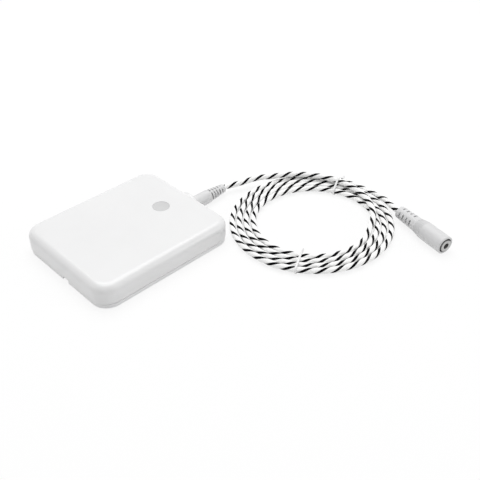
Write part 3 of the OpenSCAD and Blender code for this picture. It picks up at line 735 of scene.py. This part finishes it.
# battery cells with crimped ends, nubs to the two sides in turn, and a coiled spring at each flat end
springs = Shape()
cell_top = CELL_L - NUB_L
cell_profile = ([(AXIS_GAP, CELL_SINK), (CELL_RIM - CELL_BEVEL, CELL_SINK), (CELL_RIM, 0)]
                + arc(CELL_R - CELL_EDGE, CELL_EDGE, CELL_EDGE, -90, 0)
                + arc(CELL_R - CELL_EDGE, cell_top - CELL_EDGE, CELL_EDGE, 0, 90)
                + [(CELL_RIM, cell_top), (CELL_RIM - CRIMP_W, cell_top - CRIMP_DEPTH),
                   (NUB_R + NUB_GAP, cell_top - CRIMP_DEPTH), (NUB_R, cell_top)]
                + arc(NUB_R - NUB_EDGE, CELL_L - NUB_EDGE, NUB_EDGE, 0, 90) + [(AXIS_GAP, CELL_L)])
for i in range(CELLS):
    node = f"battery_{i + 1}"
    low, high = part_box(node)
    nub_side = -1 if i % 2 else 1
    flat_end = low.y if nub_side > 0 else high.y
    middle = Vector(((low.x + high.x) / 2, flat_end, (low.z + high.z) / 2)) / MM
    shape = Shape()
    place = Matrix.Translation(middle) @ Matrix.Rotation(-nub_side * TURN / 4, 4, "X")
    shape.grid(lathe(cell_profile, CELL_SIDES, place), caps=True)
    jacket = cell_jacket(f"cell_jacket_{i + 1}", low.y, high.y, nub_side < 0)
    shape.make(f"cell_{i + 1}", [jacket], "base", [node], sharp=35)
    spring_low, spring_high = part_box("battery_springs")
    plate = (spring_low.y if nub_side > 0 else spring_high.y) / MM + nub_side * SPRING_WIRE / 2
    q = np.linspace(0, 1, SPRING_STEPS * SPRING_TURNS + 1)
    r = SPRING_R[0] + (SPRING_R[1] - SPRING_R[0]) * q
    tip = middle.y - nub_side * SPRING_WIRE / 2
    wound = TURN * SPRING_TURNS * q
    line = np.stack([middle.x + r * np.cos(wound), plate + (tip - plate) * q,
                     middle.z + r * np.sin(wound)], -1)
    ahead = unit(np.gradient(line, axis=0))
    side = unit(np.cross(ahead, np.array([0.0, 1.0, 0.0])))
    section = circle(WIRE_SIDES, SPRING_WIRE / 2, SPRING_WIRE / 2)
    springs.grid(sweep(line, side, np.cross(ahead, side), section), caps=True)
springs.make("cell_springs", [spring_steel], "base", ["battery_springs"], sharp=60)

# finishes of the CAD nodes that stay
FINISHES = {
    "top_cover": cover_white, "base_plate": base_white, "grip_pad": pad_grey, "main_board": board_green,
    "switch_body": black_plastic, "switch_plunger": black_plastic, "status_led": lens,
    "radio_module": radio_green, "radio_shield": shield_metal, "sense_chip": black_plastic,
    "jack_body": black_plastic, "jack_contacts": contact_gold, "battery_plates": spring_steel,
    "board_screws": screw_steel, "plug_sleeve": pin_nickel, "plug_insulator": black_plastic,
    "plug_ring": pin_nickel, "plug_tip": pin_nickel, "socket_insulator": black_plastic,
    "socket_barrel": barrel_nickel, "socket_contact": contact_gold,
}
for name, finish in FINISHES.items():
    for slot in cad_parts[name].material_slots:
        slot.material = finish

# floor and light
FLOOR_HALF = 2.0
FLOOR_Z = -0.0001
mesh = bpy.data.meshes.new("floor")
corners = [(-1, -1), (1, -1), (1, 1), (-1, 1)]
mesh.from_pydata([(FLOOR_HALF * x, FLOOR_HALF * y, FLOOR_Z) for x, y in corners], [], [(0, 1, 2, 3)])
floor = bpy.data.objects.new("floor", mesh)
bpy.context.collection.objects.link(floor)


def seen_directly(tree):
    """1 for rays from the camera, or by way of metal or glass, and otherwise 0."""
    path = add(tree, "LightPath")
    gloss = add(tree, "Math", operation="MAXIMUM")
    tree.links.new(path.outputs["Is Camera Ray"], gloss.inputs[0])
    tree.links.new(path.outputs["Is Glossy Ray"], gloss.inputs[1])
    clear = add(tree, "Math", operation="MAXIMUM")
    tree.links.new(gloss.outputs[0], clear.inputs[0])
    tree.links.new(path.outputs["Is Transmission Ray"], clear.inputs[1])
    return clear.outputs[0]


FLOOR_GLOW = 0.85
floor_white, tree, shader = new_material("floor_white")
shader.inputs["Base Color"].default_value = (0.9, 0.9, 0.9, 1)
shader.inputs["Roughness"].default_value = 0.9
shader.inputs["Specular IOR Level"].default_value = 0.0
glow = add(tree, "Emission", {"Color": (1, 1, 1, 1), "Strength": 1.0})
share = add(tree, "Math", operation="MULTIPLY")
tree.links.new(seen_directly(tree), share.inputs[0])
share.inputs[1].default_value = FLOOR_GLOW
mixed = add(tree, "MixShader", {"Fac": share.outputs[0]})
tree.links.new(shader.outputs[0], mixed.inputs[1])
tree.links.new(glow.outputs[0], mixed.inputs[2])
tree.links.new(mixed.outputs[0], tree.nodes["Material Output"].inputs["Surface"])
# only the camera sees the glow, so no light is looked for there
floor_white.cycles.emission_sampling = "NONE"
mesh.materials.append(floor_white)

WORLD_LIGHT = 0.5
world = bpy.data.worlds.new("studio")
bpy.context.scene.world = world
world.use_nodes = True
tree = world.node_tree
sky = tree.nodes["Background"]
sky.inputs["Color"].default_value = (1, 1, 1, 1)
level = add(tree, "MapRange", {"Value": seen_directly(tree), "To Min": WORLD_LIGHT, "To Max": 1.0})
tree.links.new(level.outputs["Result"], sky.inputs["Strength"])


def softbox(name, place, aim, size, power):
    light = bpy.data.lights.new(name, "AREA")
    light.shape = "RECTANGLE"
    light.size, light.size_y = size
    light.energy = power
    lamp = bpy.data.objects.new(name, light)
    lamp.location = place
    lamp.rotation_euler = (Vector(aim) - Vector(place)).to_track_quat("-Z", "Y").to_euler()
    bpy.context.collection.objects.link(lamp)


softbox("top_light", place=(0.24, 0.24, 1.05), aim=(0.05, -0.03, 0), size=(1.0, 1.0), power=9.3)
softbox("left_light", place=(-0.9, 0.5, 0.35), aim=(0, 0, 0), size=(0.5, 0.5), power=0.5)
softbox("right_light", place=(0.75, -1.0, 0.45), aim=(0, 0, 0), size=(0.5, 0.5), power=2.3)

bpy.context.scene.view_settings.view_transform = "Standard"
